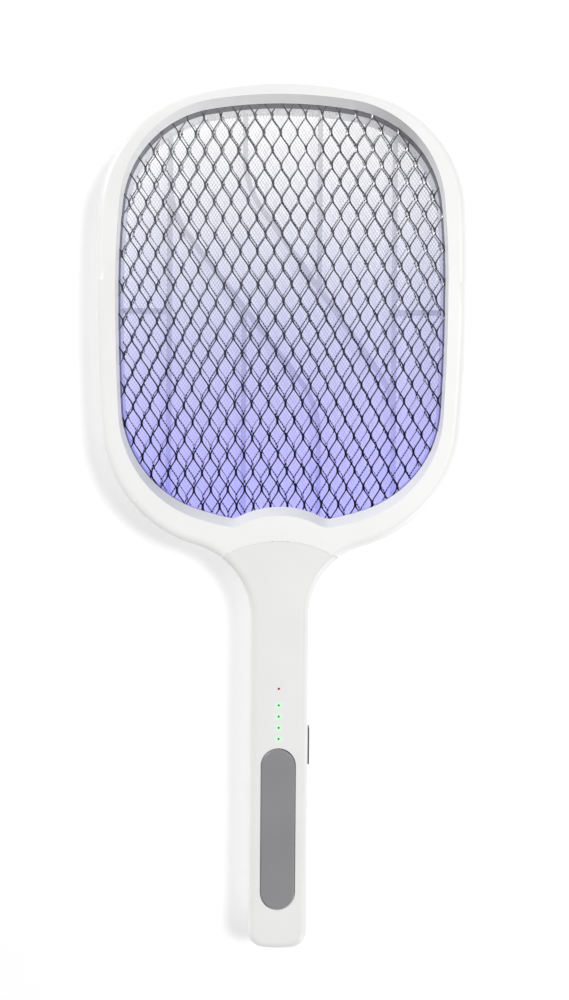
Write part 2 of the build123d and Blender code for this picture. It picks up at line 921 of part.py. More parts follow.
def battery_tabs():
    """Thin strips welded to the cell's ends and soldered to the board."""
    tabs = []
    for low in (cell_low - tab_sheet, cell_low + cell_length):
        tabs.append(block((-tab_width / 2, tab_width / 2), (low, low + tab_sheet), (cell_height(), board_bottom)))
    return Compound(children=tabs)


def charging_socket():
    """Metal shell of the charging socket, set a little into the handle's end."""
    low = handle_end + wall / 2
    shell = socket_shape(0.0, low, low + socket_depth)
    return shell - socket_shape(-socket_sheet, low - wall, low + socket_depth - socket_back)


def socket_tongue():
    """Contact tongue inside the charging socket."""
    low = handle_end + wall / 2 + tongue_setback
    middle = board_bottom - socket_height / 2
    half = tongue_thickness / 2
    high = handle_end + wall / 2 + socket_depth - socket_back
    return block((-tongue_width / 2, tongue_width / 2), (low, high), (middle - half, middle + half))


def wire(points, bends):
    """Insulated wire through these points, each corner between them rounded to its own radius."""
    path = FilletPolyline(*points, radius=bends)
    start = Plane(origin=points[0], z_dir=Vector(*points[1]) - Vector(*points[0]))
    return sweep(start * Circle(wire_radius).face(), path=path.wire())


def mesh_wires():
    """High-voltage wire to the inner mesh and earth wire to the rear mesh, past the lamp board."""
    under_board = board_bottom - wire_radius - thread_gap
    wall_top = widest - seam_drop + wall
    edge = widest - opening_drop - mesh_grip
    ends = ((1, (inner_mesh_bottom + front_spacer_bottom) / 2), (-1, (rear_mesh_bottom + rear_spacer_bottom) / 2))
    wires = []
    for side, level in ends:
        points = [
            (side * mesh_wire_side, board_high - mesh_wire_board_end, under_board),
            (side * mesh_wire_inset, lug_low - mesh_wire_drop, parting + wire_radius),
            (side * mesh_wire_inset, wall_top + mesh_wire_climb, parting),
            (side * mesh_wire_turn, wall_top - mesh_wire_dip, parting),
            (side * mesh_wire_end, edge - mesh_wire_reach, level),
        ]
        wires.append(wire(points, mesh_wire_bends))
    return Compound(children=wires)


def lamp_wires():
    """Pair of wires from the board to the back of the lamp board."""
    back = widest - opening_drop + bump_height - lamp_board_setback() - lamp_board_thickness
    pair = []
    for side in (-1, 1):
        x = side * (wire_radius + fit_gap)
        points = [
            (x, board_high - lamp_wire_board_end, board_top + wire_radius + thread_gap),
            (x, board_high + lamp_wire_run, board_top + wire_radius + thread_gap),
            (x, lug_low, parting),
            (x, back, parting),
        ]
        pair.append(wire(points, lamp_wire_bends))
    return Compound(children=pair)


NODES = [
    front_frame, rear_frame, rear_guard,
    lamp_lens, lamp_board, lamp_leds,
    handle_front_shell, handle_rear_shell,
    shock_button, push_switch, push_plunger, button_springs,
    slide_knob, slide_switch, slide_lever,
    red_light_pipe, green_light_pipe, indicator_leds,
    circuit_board, transformer_core, transformer_coil,
    storage_capacitors, rectifier_diodes, bleed_resistors, drive_transistor,
    battery_cell, battery_tabs, charging_socket, socket_tongue,
    mesh_wires, lamp_wires,
]

pieces = {make.__name__: make() for make in NODES}
pieces["rear_mesh"] = expanded_mesh(rear_mesh_bottom, rear_spacer_bottom)
pieces["high_voltage_mesh"] = expanded_mesh(inner_mesh_bottom, front_spacer_bottom, mesh_pitch_y / 4)
pieces["front_mesh"] = expanded_mesh(front_mesh_bottom, lip_bottom_height)
pieces["rear_spacer"] = spacer(rear_spacer_bottom, inner_mesh_bottom)
pieces["front_spacer"] = spacer(front_spacer_bottom, front_mesh_bottom)
pieces["head_screws"] = screw_group(ring_screw_spots())
pieces["handle_screws"] = screw_group(lug_spots() + shell_screw_spots())

os.makedirs("parts", exist_ok=True)
for name, shape in pieces.items():
    export_step(shape, f"parts/{name}.step")
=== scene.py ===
import math

import bmesh
import bpy
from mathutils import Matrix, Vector


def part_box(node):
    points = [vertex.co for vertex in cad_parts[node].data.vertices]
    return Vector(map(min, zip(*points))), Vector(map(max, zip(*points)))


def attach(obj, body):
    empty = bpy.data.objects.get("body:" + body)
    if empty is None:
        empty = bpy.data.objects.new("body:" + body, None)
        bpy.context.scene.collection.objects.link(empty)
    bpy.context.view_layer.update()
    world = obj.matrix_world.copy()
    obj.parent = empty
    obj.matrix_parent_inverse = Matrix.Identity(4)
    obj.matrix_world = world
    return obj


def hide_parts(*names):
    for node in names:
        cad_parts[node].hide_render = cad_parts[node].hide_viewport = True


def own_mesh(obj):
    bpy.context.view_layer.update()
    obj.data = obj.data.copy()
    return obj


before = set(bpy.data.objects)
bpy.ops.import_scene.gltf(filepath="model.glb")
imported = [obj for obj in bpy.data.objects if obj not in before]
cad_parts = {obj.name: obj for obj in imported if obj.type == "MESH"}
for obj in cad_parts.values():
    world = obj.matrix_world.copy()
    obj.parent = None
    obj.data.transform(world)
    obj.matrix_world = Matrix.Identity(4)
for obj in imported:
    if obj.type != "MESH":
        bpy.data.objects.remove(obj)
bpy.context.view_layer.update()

# The table and the light. The racket lies on its back on a white table that glows only
# behind the meshes, where the violet lamp's light is painted on as a tinted pool of glow,
# under a soft lamp from the right and two shadowless fills from the other corners, and is looked at
# from straight above.
table_size = 6.0
table_drop = 0.0003
table_paint = 0.90
pool_glow = 0.36
pool_start = 1.05
pool_end = 1.17
lamp_place = (1.05, 0.35, 2.0)
lamp_target = (0.0, 0.05, 0.0)
lamp_width = 0.55
lamp_power = 19.0
fills = (((-0.75, 0.55, 0.36), 2.0), ((0.70, -0.60, 0.38), 1.3))
room_light = 0.45
eye_place = (0.00244, 0.00898, 0.592)
eye_lens = 35.1
eye_roll = 0.42


def put(tree, kind, **settings):
    """A new node of this kind, with its settings and its sockets' values filled in."""
    node = tree.nodes.new("ShaderNode" + kind)
    for name, value in settings.items():
        if hasattr(node, name):
            setattr(node, name, value)
        else:
            node.inputs[name.replace("_", " ")].default_value = value
    return node


def tones(tree, amount, stops, kind="LINEAR"):
    """Colour that follows amount through these stops of (amount, red, green, blue)."""
    ramp = put(tree, "ValToRGB")
    ramp.color_ramp.interpolation = kind
    marks = ramp.color_ramp.elements
    while len(marks) < len(stops):
        marks.new(0.5)
    for mark, (place, red, green, blue) in zip(marks, sorted(stops)):
        mark.position = place
        mark.color = (red, green, blue, 1.0)
    tree.links.new(amount, ramp.inputs["Fac"])
    return ramp.outputs["Color"]


def rescaled(tree, value, low, high, new_low=0.0, new_high=1.0, kind="LINEAR"):
    """A value moved from one range to another and kept inside it."""
    node = put(tree, "MapRange", interpolation_type=kind, From_Min=low, From_Max=high)
    node.inputs["To Min"].default_value = new_low
    node.inputs["To Max"].default_value = new_high
    tree.links.new(value, node.inputs["Value"])
    return node.outputs["Result"]


def mixed(tree, share, under, over, kind="MIX"):
    """One colour laid over another by share, each a socket of another node or plain numbers."""
    node = put(tree, "Mix", data_type="RGBA", blend_type=kind)
    for name, given in (("Factor", share), ("A", under), ("B", over)):
        if isinstance(given, bpy.types.NodeSocket):
            tree.links.new(given, node.inputs[name])
        else:
            node.inputs[name].default_value = given
    return node.outputs["Result"]


def along_length(tree):
    """How far up the racket a point lies, from the foot of the mesh at 0 to its top at 1."""
    place = put(tree, "TexCoord")
    parts = put(tree, "SeparateXYZ")
    tree.links.new(place.outputs["Object"], parts.inputs["Vector"])
    low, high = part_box("front_mesh")
    return rescaled(tree, parts.outputs["Y"], low.y, high.y)


def into_scene(name, data):
    """A new object that holds this lamp, camera or mesh, linked into the scene."""
    thing = bpy.data.objects.new(name, data)
    bpy.context.scene.collection.objects.link(thing)
    return thing


# The violet lamp's light at the foot of the mesh, painted as a colour wash onto what lies behind it,
# foot first
lamp_wash = [
    (0.00, 0.50, 0.49, 0.84),
    (0.14, 0.52, 0.51, 0.82),
    (0.30, 0.56, 0.55, 0.79),
    (0.45, 0.61, 0.61, 0.78),
    (0.60, 0.68, 0.69, 0.79),
    (0.76, 0.77, 0.77, 0.82),
    (0.90, 0.84, 0.84, 0.85),
    (1.00, 0.87, 0.87, 0.87),
]

bpy.ops.object.select_all(action="DESELECT")
bpy.ops.mesh.primitive_plane_add(size=table_size, location=(0, 0, -table_drop))
table = bpy.context.object
table.name = "light_table"
table_finish = bpy.data.materials.new("white_light_table")
table_finish.use_nodes = True
tree = table_finish.node_tree
tree.nodes.remove(tree.nodes["Principled BSDF"])
low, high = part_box("front_mesh")
centre = (low + high) / 2
half_length = high.y - centre.y
place = put(tree, "TexCoord")
shift = put(tree, "Mapping")
shift.inputs["Location"].default_value = (-centre.x / high.x, -centre.y / half_length, 0.0)
shift.inputs["Scale"].default_value = (1 / high.x, 1 / half_length, 1.0)
squared = put(tree, "VectorMath", operation="MULTIPLY")
reach = put(tree, "VectorMath", operation="LENGTH")
tree.links.new(place.outputs["Object"], shift.inputs["Vector"])
for socket in squared.inputs[:2]:
    tree.links.new(shift.outputs["Vector"], socket)
tree.links.new(squared.outputs["Vector"], reach.inputs[0])
# Painted light: the lamp's violet wash is painted into the table's colour and glow as a pool behind
# the meshes.
inside = rescaled(tree, reach.outputs["Value"], pool_start, pool_end, 1.0, 0.0, "SMOOTHSTEP")
wash = tones(tree, along_length(tree), lamp_wash, "B_SPLINE")
pool = mixed(tree, inside, (1.0, 1.0, 1.0, 1.0), wash)
dull = mixed(tree, 1.0, pool, (table_paint, table_paint, table_paint, 1.0), "MULTIPLY")
paint = put(tree, "BsdfDiffuse")
tree.links.new(dull, paint.inputs["Color"])
glow = put(tree, "Emission")
tree.links.new(pool, glow.inputs["Color"])
tree.links.new(rescaled(tree, inside, 0.0, 1.0, 0.0, pool_glow), glow.inputs["Strength"])
both = put(tree, "AddShader")
tree.links.new(paint.outputs["BSDF"], both.inputs[0])
tree.links.new(glow.outputs["Emission"], both.inputs[1])
tree.links.new(both.outputs["Shader"], tree.nodes["Material Output"].inputs["Surface"])
table.data.materials.append(table_finish)

room = bpy.data.worlds.new("soft_room")
bpy.context.scene.world = room
room.use_nodes = True
backdrop = room.node_tree.nodes["Background"]
backdrop.inputs["Color"].default_value = (1.0, 1.0, 1.0, 1.0)
backdrop.inputs["Strength"].default_value = room_light

soft_lamp = bpy.data.lights.new("soft_lamp", "AREA")
soft_lamp.shape = "DISK"
soft_lamp.size = lamp_width
soft_lamp.energy = lamp_power
soft_lamp_object = into_scene("soft_lamp", soft_lamp)
soft_lamp_object.location = lamp_place
lamp_line = Vector(lamp_place) - Vector(lamp_target)
soft_lamp_object.rotation_euler = lamp_line.to_track_quat("Z", "Y").to_euler()

for source, power in fills:
    fill = bpy.data.lights.new("fill", "SUN")
    fill.energy = power
    fill.use_shadow = False
    fill_object = into_scene("fill", fill)
    fill_object.rotation_euler = Vector(source).to_track_quat("Z", "Y").to_euler()

eye = bpy.data.cameras.new("eye")
eye.lens = eye_lens
eye.sensor_width = 36.0
eye.clip_start = 0.01
eye_object = into_scene("eye", eye)
eye_object.location = eye_place
eye_object.rotation_euler = (0.0, 0.0, math.radians(eye_roll))
bpy.context.scene.camera = eye_object
bpy.context.scene.view_settings.view_transform = "Standard"


# The head ring: two halves moulded in white ABS with a faint spark-eroded grain,
# screwed together from the back. The front half has the lip that slopes in to the mesh.
ring_roughness = 0.42
patch_size = 0.035
grain_low = 0.3
grain_high = 0.7
grain_depth = 0.0002


def grain(tree, place, size, detail=2.0):
    """Fine noise whose lumps are about this many metres across."""
    noise = put(tree, "TexNoise", Detail=detail)
    noise.inputs["Scale"].default_value = 1.0 / size
    tree.links.new(place, noise.inputs["Vector"])
    return noise.outputs["Fac"]


def moulded(name, colour, roughness, grain_size=0.00045, relief=0.06, mottle=0.018):
    """Moulded plastic: a colour that varies a little from place to place, over a fine grain."""
    finish = bpy.data.materials.new(name)
    finish.use_nodes = True
    tree = finish.node_tree
    shader = tree.nodes["Principled BSDF"]
    place = put(tree, "TexCoord").outputs["Object"]
    patches = grain(tree, place, patch_size)
    darker = [share * (1 - mottle) for share in colour]
    paler = [min(share * (1 + mottle), 1.0) for share in colour]
    tint = tones(tree, patches, [(grain_low, *darker), (grain_high, *paler)])
    tree.links.new(tint, shader.inputs["Base Color"])
    fine = grain(tree, place, grain_size)
    shine = rescaled(tree, fine, grain_low, grain_high, roughness - 0.05, roughness + 0.05)
    tree.links.new(shine, shader.inputs["Roughness"])
    bump = put(tree, "Bump", Strength=relief, Distance=grain_depth)
    tree.links.new(fine, bump.inputs["Height"])
    tree.links.new(bump.outputs["Normal"], shader.inputs["Normal"])
    return finish


def dress(finish, *nodes):
    """Gives carried-over pieces of the frame this finish."""
    for node in nodes:
        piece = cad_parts[node]
        piece.data.materials.clear()
        piece.data.materials.append(finish)


white_abs = moulded("white_abs", (0.775, 0.775, 0.77), ring_roughness)
dress(white_abs, "front_frame", "rear_frame", "handle_rear_shell")


# The handle's front shell: the same white ABS as the ring, its colour set darker as painted shade,
# thin enough over the light pipes that each lit indicator's light is painted as a soft coloured ring
# on the plastic round its pin.
green_halo = (0.0029, 0.54, 0.98, 0.60)
red_halo = (0.0016, 0.98, 0.55, 0.58)
green_count = 4
halo_start = 0.0006
halo_share = 0.9
# Painted shade: this white is darker than the ring's white_abs, though both are the same plastic.
handle_white = moulded("handle_abs_painted_shade", (0.715, 0.715, 0.71), ring_roughness)
tree = handle_white.node_tree
shader = tree.nodes["Principled BSDF"]
surface = shader.inputs["Base Color"].links[0].from_socket
place = put(tree, "TexCoord").outputs["Object"]
low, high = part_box("green_light_pipe")
bar_end = (high.x - low.x) / 2
row_gap = (high.y - low.y - 2 * bar_end) / (green_count - 1)
halos = [(low.y + bar_end + number * row_gap, green_halo) for number in range(green_count)]
low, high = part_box("red_light_pipe")
halos.append(((low.y + high.y) / 2, red_halo))
# Painted light: each indicator's glow is mixed into the shell's colour as a ring round its pin.
for row, (reach, *light) in halos:
    away = put(tree, "VectorMath", operation="DISTANCE")
    tree.links.new(place, away.inputs[0])
    away.inputs[1].default_value = (0.0, row, high.z)
    near = rescaled(tree, away.outputs["Value"], halo_start, reach, halo_share, 0.0, "SMOOTHSTEP")
    surface = mixed(tree, near, surface, (*light, 1.0))
tree.links.new(surface, shader.inputs["Base Color"])
dress(handle_white, "handle_front_shell")


# The rear guard: a flat grille of curved ribs behind the meshes, moulded in pale ABS.
# The violet lamp's light at the foot of the head is painted on it as a tint and a faint glow.
violet_glow = [
    (0.0, 0.10, 0.08, 0.62),
    (0.3, 0.06, 0.05, 0.30),
    (0.6, 0.01, 0.01, 0.06),
    (0.9, 0.00, 0.00, 0.00),
]


def lit_by_lamp(finish, strength):
    """Paints the lamp's violet light into a finish: a violet wash along the racket's length, and a
    little painted glow.
    """
    tree = finish.node_tree
    shader = tree.nodes["Principled BSDF"]
    own = shader.inputs["Base Color"].links[0].from_socket
    wash = tones(tree, along_length(tree), lamp_wash, "B_SPLINE")
    tree.links.new(mixed(tree, 1.0, own, wash, "MULTIPLY"), shader.inputs["Base Color"])
    violet = tones(tree, along_length(tree), violet_glow, "B_SPLINE")
    tree.links.new(violet, shader.inputs["Emission Color"])
    shader.inputs["Emission Strength"].default_value = strength


guard_finish = moulded("guard_plastic", (0.74, 0.74, 0.75), 0.5)
lit_by_lamp(guard_finish, 0.25)
dress(guard_finish, "rear_guard")

# The spacers: rings of insulating plastic that hold the three meshes apart. The front one is
# coloured dark grey as painted shade for the shaded wall inside the lip; the rear one is white, with a
# strong painted violet glow.
spacer_painted_shade = moulded("spacer_grey_painted_shade", (0.22, 0.22, 0.235), 0.55)
lit_by_lamp(spacer_painted_shade, 0.1)
dress(spacer_painted_shade, "front_spacer")
white_spacer = moulded("spacer_white", (0.86, 0.86, 0.86), 0.5)
lit_by_lamp(white_spacer, 0.5)
dress(white_spacer, "rear_spacer")


# The outer meshes: expanded aluminium, slit and drawn out into tall diamonds. Where two
# strands meet they are a short thick upright knuckle, and each knuckle leans through the sheet.
cell_width = 0.0099
cell_height = 0.0198
knuckle_half = 0.0011
knuckle_lean = 0.00012
knuckle_size = 0.0015
thin_share = 0.5
strand_bend = ((0.0, 0.0), (0.18, 0.2), (0.82, 0.8), (1.0, 1.0))
spare_cells = 3
edge_gap = 0.0004
weld = 1e-5


def alone(piece):
    """Makes one piece the only selected and the active one."""
    bpy.ops.object.select_all(action="DESELECT")
    piece.select_set(True)
    bpy.context.view_layer.objects.active = piece


def pick(piece, kind, test):
    """In edit mode, selects the vertices, edges or faces that pass a test."""
    bpy.ops.mesh.select_mode(type=kind)
    bpy.ops.mesh.select_all(action="DESELECT")
    shape = bmesh.from_edit_mesh(piece.data)
    for part in {"VERT": shape.verts, "EDGE": shape.edges, "FACE": shape.faces}[kind]:
        part.select_set(test(part))
    shape.select_flush_mode()
    bmesh.update_edit_mesh(piece.data)


def settle():
    """Puts the selected pieces' place and turn into their meshes."""
    bpy.ops.object.transform_apply(location=True, rotation=True, scale=True)


def use(piece, kind, **settings):
    """Adds a modifier with these settings and applies it."""
    modifier = piece.modifiers.new(kind.lower(), kind)
    for name, value in settings.items():
        setattr(modifier, name, value)
    alone(piece)
    bpy.ops.object.modifier_apply(modifier=modifier.name)


def outer_walls(node):
    """A point and the outward direction of each flat of the wall round a sheet of the frame."""
    low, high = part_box(node)
    middle = (low + high) / 2
    hull = bmesh.new()
    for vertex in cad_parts[node].data.vertices:
        hull.verts.new(vertex.co)
    bmesh.ops.convex_hull(hull, input=hull.verts)
    walls = {}
    for face in hull.faces:
        face.normal_update()
        outward = face.normal.copy()
        if abs(outward.z) < 0.1 and face.calc_area() > 1e-8:
            point = face.verts[0].co.copy()
            outward.z = 0.0
            outward.normalize()
            if (point - middle).dot(outward) < 0:
                outward.negate()
            walls[(round(outward.x, 2), round(outward.y, 2))] = (point, outward)
    hull.free()
    return list(walls.values())


def trim(piece, walls):
    """Cuts away what lies outside these walls, moved in by a small gap."""
    alone(piece)
    bpy.ops.object.mode_set(mode="EDIT")
    for point, outward in walls:
        bpy.ops.mesh.select_all(action="SELECT")
        bpy.ops.mesh.bisect(plane_co=point - outward * edge_gap, plane_no=outward, clear_outer=True)
    bpy.ops.object.mode_set(mode="OBJECT")


def expanded_metal(name, node, corner, turn):
    """Expanded metal in the place of a sheet of the frame; corner is one knuckle's place."""
    low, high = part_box(node)
    level = (low.z + high.z) / 2
    half_x = cell_width / 2
    top = cell_height / 2 - knuckle_half
    bpy.ops.object.select_all(action="DESELECT")
    bpy.ops.mesh.primitive_circle_add(vertices=14, radius=top, fill_type="NGON", location=(0, 0, 0))
    sheet = bpy.context.object
    sheet.name = name
    bonds = sheet.vertex_groups.new(name="bonds")
    fall = top - knuckle_half
    right = [(half_x * out, top - fall * down, 2 * down - 1) for out, down in strand_bend]
    ring = right + [(x, -y, -z) for x, y, z in reversed(right)]
    ring += [(-x, y, z) for x, y, z in reversed(ring[1:-1])]
    turned = ring[:1] + ring[:0:-1]
    for vertex, (x, y, z) in zip(sheet.data.vertices, turned):
        vertex.co = (x, y, z * knuckle_lean)
        bonds.add([vertex.index], float(abs(z) == 1.0), "REPLACE")
    columns = math.ceil((high.x - low.x) / cell_width) + spare_cells
    rows = math.ceil((high.y - low.y) / cell_height) + spare_cells
    for count, step in (
        (2, (half_x, cell_height / 2, 0)),
        (columns, (cell_width, 0, 0)),
        (rows, (0, cell_height, 0)),
    ):
        use(sheet, "ARRAY", count=count, use_relative_offset=False, use_constant_offset=True,
            constant_offset_displace=step, use_merge_vertices=True, merge_threshold=weld)
    sheet.rotation_euler.z = math.radians(turn)
    sheet.location = (
        corner[0] - half_x - round((corner[0] - low.x) / cell_width + 0.5) * cell_width,
        corner[1] - round((corner[1] - low.y) / cell_height + 1.0) * cell_height,
        level,
    )
    settle()
    bpy.ops.object.mode_set(mode="EDIT")
    bpy.ops.mesh.select_all(action="SELECT")
    bpy.ops.mesh.remove_doubles(threshold=weld)
    bpy.ops.object.mode_set(mode="OBJECT")
    trim(sheet, outer_walls(node))
    use(sheet, "WIREFRAME", thickness=knuckle_size, use_even_offset=False, use_boundary=True,
        vertex_group="bonds", thickness_vertex_group=thin_share)
    return sheet


dull_patch_size = 0.0035
dull_share = 0.45
streak_size = 0.0002
streak_depth = 0.00005


def mesh_metal(name, bright, foot, roughness):
    """Rolled aluminium: fine streaks and dull patches, with the lamp's violet light painted in as a
    darker violet tint towards the foot.
    """
    finish = bpy.data.materials.new(name)
    finish.use_nodes = True
    tree = finish.node_tree
    shader = tree.nodes["Principled BSDF"]
    shader.inputs["Metallic"].default_value = 0.85
    place = put(tree, "TexCoord").outputs["Object"]
    dull_patches = grain(tree, place, dull_patch_size, 3.0)
    dull = [share * dull_share for share in bright]
    own = tones(tree, dull_patches, [(0.35, *dull), (0.65, *bright)])
    above_foot = [share * 1.5 for share in foot]
    tint = tones(tree, along_length(tree), [
        (0.0, *foot),
        (0.25, *above_foot),
        (0.6, 0.5, 0.5, 0.57),
        (1.0, 1.0, 1.0, 1.0),
    ])
    tree.links.new(mixed(tree, 1.0, own, tint, "MULTIPLY"), shader.inputs["Base Color"])
    streaks = grain(tree, place, streak_size, 1.0)
    shine = rescaled(tree, streaks, grain_low, grain_high, roughness - 0.08, roughness + 0.08)
    tree.links.new(shine, shader.inputs["Roughness"])
    bump = put(tree, "Bump", Strength=0.15, Distance=streak_depth)
    tree.links.new(streaks, bump.inputs["Height"])
    tree.links.new(bump.outputs["Normal"], shader.inputs["Normal"])
    return finish


# The foot colour is the lamp's violet light painted onto the strands.
outer_metal = mesh_metal("expanded_aluminium", (0.31, 0.31, 0.32), (0.05, 0.045, 0.13), 0.34)
for name, node, corner, turn in (
    ("front_strands", "front_mesh", (0.0099, 0.1912), 1.5),
    ("rear_strands", "rear_mesh", (0.0088, 0.1972), 1.2),
):
    strands = expanded_metal(name, node, corner, turn)
    strands.data.materials.append(outer_metal)
    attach(strands, "casing")
    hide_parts(node)


# The high-voltage net: far finer metal between the two, made as a bright haze of crossing
# wires, with the lamp's violet light painted on it most strongly as a tint and a glow.
wire_gap = 0.00162
wire_size = 0.00034
wire_angle = 57.0
net_blank = 0.4
net_reach = 0.17
net_low, net_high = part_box("high_voltage_mesh")
net_centre = (net_low + net_high) / 2
net_walls = outer_walls("high_voltage_mesh")
net_parts = []
for way in (-1, 1):
    bpy.ops.object.select_all(action="DESELECT")
    bpy.ops.mesh.primitive_plane_add(size=net_blank, location=net_centre)
    net = bpy.context.object
    settle()
    trim(net, net_walls)
    bpy.ops.object.mode_set(mode="EDIT")
    slope = math.radians(wire_angle)
    across = Vector((math.sin(slope), way * math.cos(slope), 0.0))
    count = int(net_reach / wire_gap)
    for number in range(-count, count + 1):
        bpy.ops.mesh.select_all(action="SELECT")
        bpy.ops.mesh.bisect(plane_co=net_centre + across * number * wire_gap, plane_no=across)
    pick(net, "EDGE", lambda edge: edge.is_boundary)
    bpy.ops.mesh.delete(type="EDGE")
    bpy.ops.object.mode_set(mode="OBJECT")
    bpy.ops.object.convert(target="CURVE")
    net = bpy.context.object
    net.data.bevel_depth = wire_size / 2
    net.data.bevel_resolution = 0
    net.data.use_fill_caps = True
    bpy.ops.object.convert(target="MESH")
    net_parts.append(bpy.context.object)
alone(net_parts[0])
net_parts[1].select_set(True)
bpy.ops.object.join()
net = bpy.context.object
net.name = "high_voltage_net"
net_finish = moulded("bright_net", (0.86, 0.86, 0.86), 0.4)
lit_by_lamp(net_finish, 0.5)
net.data.materials.clear()
net.data.materials.append(net_finish)
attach(net, "casing")
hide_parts("high_voltage_mesh")


# The lamp: a strip of flat violet diodes on a white board behind a clear strip, all
# hidden behind the low bump at the foot of the mesh.
lens_finish = moulded("clear_strip", (0.85, 0.84, 0.95), 0.12, relief=0.02)
lens_finish.node_tree.nodes["Principled BSDF"].inputs["Transmission Weight"].default_value = 0.9
dress(lens_finish, "lamp_lens")
dress(moulded("lamp_board_white", (0.78, 0.78, 0.76), 0.4), "lamp_board")


def glowing(name, colour, light, strength):
    """Tinted clear plastic lit from inside, a little brighter in places."""
    finish = moulded(name, colour, 0.2, relief=0.02)
    tree = finish.node_tree
    shader = tree.nodes["Principled BSDF"]
    spread = grain(tree, put(tree, "TexCoord").outputs["Object"], 0.0015)
    dimmer = [share * 0.8 for share in light]
    lit = tones(tree, spread, [(grain_low, *dimmer), (grain_high, *light)])
    tree.links.new(lit, shader.inputs["Emission Color"])
    shader.inputs["Emission Strength"].default_value = strength
    return finish


dress(glowing("violet_diode", (0.5, 0.45, 0.9), (0.25, 0.18, 1.0), 3.0), "lamp_leds")

# The indicators: one red and four green pins of tinted acrylic, flush with the handle's
# face, with the tiny diodes that light them on the board below.
dress(glowing("green_pin", (0.03, 0.12, 0.04), (0.06, 0.40, 0.10), 0.2), "green_light_pipe")
dress(glowing("red_pin", (0.05, 0.004, 0.01), (0.45, 0.02, 0.05), 0.06), "red_light_pipe")
dress(moulded("diode_body", (0.80, 0.80, 0.74), 0.4), "indicator_leds")


# The press button: a long round-ended paddle of satin grey plastic with a softened rim,
# and a wider flange below the shell that keeps it in.
button_flange = 0.0014
button_rim = 0.0009
flange_height = 0.0015
button_sides = 64
face_edge = 0.0016
face_dip = 0.00012
crease = math.radians(35)
low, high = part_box("shock_button")
bpy.ops.object.select_all(action="DESELECT")
flange_width = high.x - low.x
middle_y = (low.y + high.y) / 2
bpy.ops.mesh.primitive_cylinder_add(
    vertices=button_sides, radius=flange_width / 2, depth=flange_height,
    location=(0, middle_y, low.z + flange_height / 2), rotation=(0, 0, math.pi / button_sides),
)
button = bpy.context.object
button.name = "press_button"
settle()
bpy.ops.object.mode_set(mode="EDIT")
for way in (-1, 1):
    pick(button, "VERT", lambda vertex: way * (vertex.co.y - middle_y) > 0)
    bpy.ops.transform.translate(value=(0, way * (high.y - low.y - flange_width) / 2, 0))
pick(button, "FACE", lambda face: face.normal.z > 0.9)
bpy.ops.mesh.inset(thickness=button_flange)
stem = high.z - low.z - flange_height
bpy.ops.mesh.extrude_region_move(TRANSFORM_OT_translate={"value": (0, 0, stem)})
pick(button, "EDGE", lambda edge: all(abs(vertex.co.z - high.z) < 1e-5 for vertex in edge.verts))
bpy.ops.mesh.bevel(offset=button_rim, segments=4, affect="EDGES")
pick(button, "FACE", lambda face: face.normal.z > 0.99 and face.calc_center_median().z > high.z - 1e-4)
bpy.ops.mesh.inset(thickness=face_edge)
bpy.ops.transform.translate(value=(0, 0, -face_dip))
bpy.ops.object.mode_set(mode="OBJECT")
bpy.ops.object.shade_smooth_by_angle(angle=crease)
satin = (0.222, 0.222, 0.228)
button_finish = moulded("satin_grey", satin, 0.38, grain_size=0.0003, relief=0.12, mottle=0.03)
button.data.materials.append(button_finish)
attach(button, "button")
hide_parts("shock_button")


# Below the button: a square push switch with its plunger, and two return springs wound
# from steel wire.
switch_black = moulded("switch_black", (0.025, 0.025, 0.027), 0.45)
dress(switch_black, "push_switch", "push_plunger", "slide_lever", "socket_tongue")
spring_turns = 6
turn_steps = 20
coil_wire = 0.00025
low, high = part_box("button_springs")
coil_radius = (high.x - low.x) / 2 - coil_wire
coils = []
for y in (low.y + coil_radius + coil_wire, high.y - coil_radius - coil_wire):
    bpy.ops.object.select_all(action="DESELECT")
    bpy.ops.mesh.primitive_circle_add(vertices=8, radius=coil_wire, rotation=(math.pi / 2, 0, 0),
                                      location=(coil_radius, 0, low.z + coil_wire))
    coil = bpy.context.object
    settle()
    rise = (high.z - low.z - 2 * coil_wire) / spring_turns
    use(coil, "SCREW", axis="Z", iterations=spring_turns, screw_offset=rise,
        steps=turn_steps, render_steps=turn_steps)
    bpy.ops.object.mode_set(mode="EDIT")
    bpy.ops.mesh.select_all(action="SELECT")
    bpy.ops.mesh.fill_holes(sides=0)
    bpy.ops.mesh.normals_make_consistent(inside=False)
    bpy.ops.object.mode_set(mode="OBJECT")
    coil.location = (0, y, 0)
    settle()
    coils.append(coil)
alone(coils[0])
coils[1].select_set(True)
bpy.ops.object.join()
coil = bpy.context.object
coil.name = "return_springs"
bpy.ops.object.shade_smooth_by_angle(angle=math.radians(50))


def bare_metal(name, colour, roughness):
    """Plain metal with fine drawn or pressed marks."""
    finish = moulded(name, colour, roughness, grain_size=0.0004, relief=0.08, mottle=0.05)
    finish.node_tree.nodes["Principled BSDF"].inputs["Metallic"].default_value = 1.0
    return finish


spring_steel = bare_metal("spring_steel", (0.58, 0.58, 0.60), 0.3)
coil.data.materials.clear()
coil.data.materials.append(spring_steel)
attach(coil, "casing")
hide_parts("button_springs")
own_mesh(coil)

# The side switch: a dark satin knob in a slot in the right-hand side, over a slide
# switch in a tinned can under the board.
dress(moulded("knob_grey", (0.085, 0.085, 0.09), 0.42, grain_size=0.0003, relief=0.12), "slide_knob")
tinned = bare_metal("tinned_steel", (0.66, 0.66, 0.67), 0.28)
dress(tinned, "slide_switch", "charging_socket")
dress(bare_metal("nickel_strip", (0.68, 0.66, 0.61), 0.3), "battery_tabs")


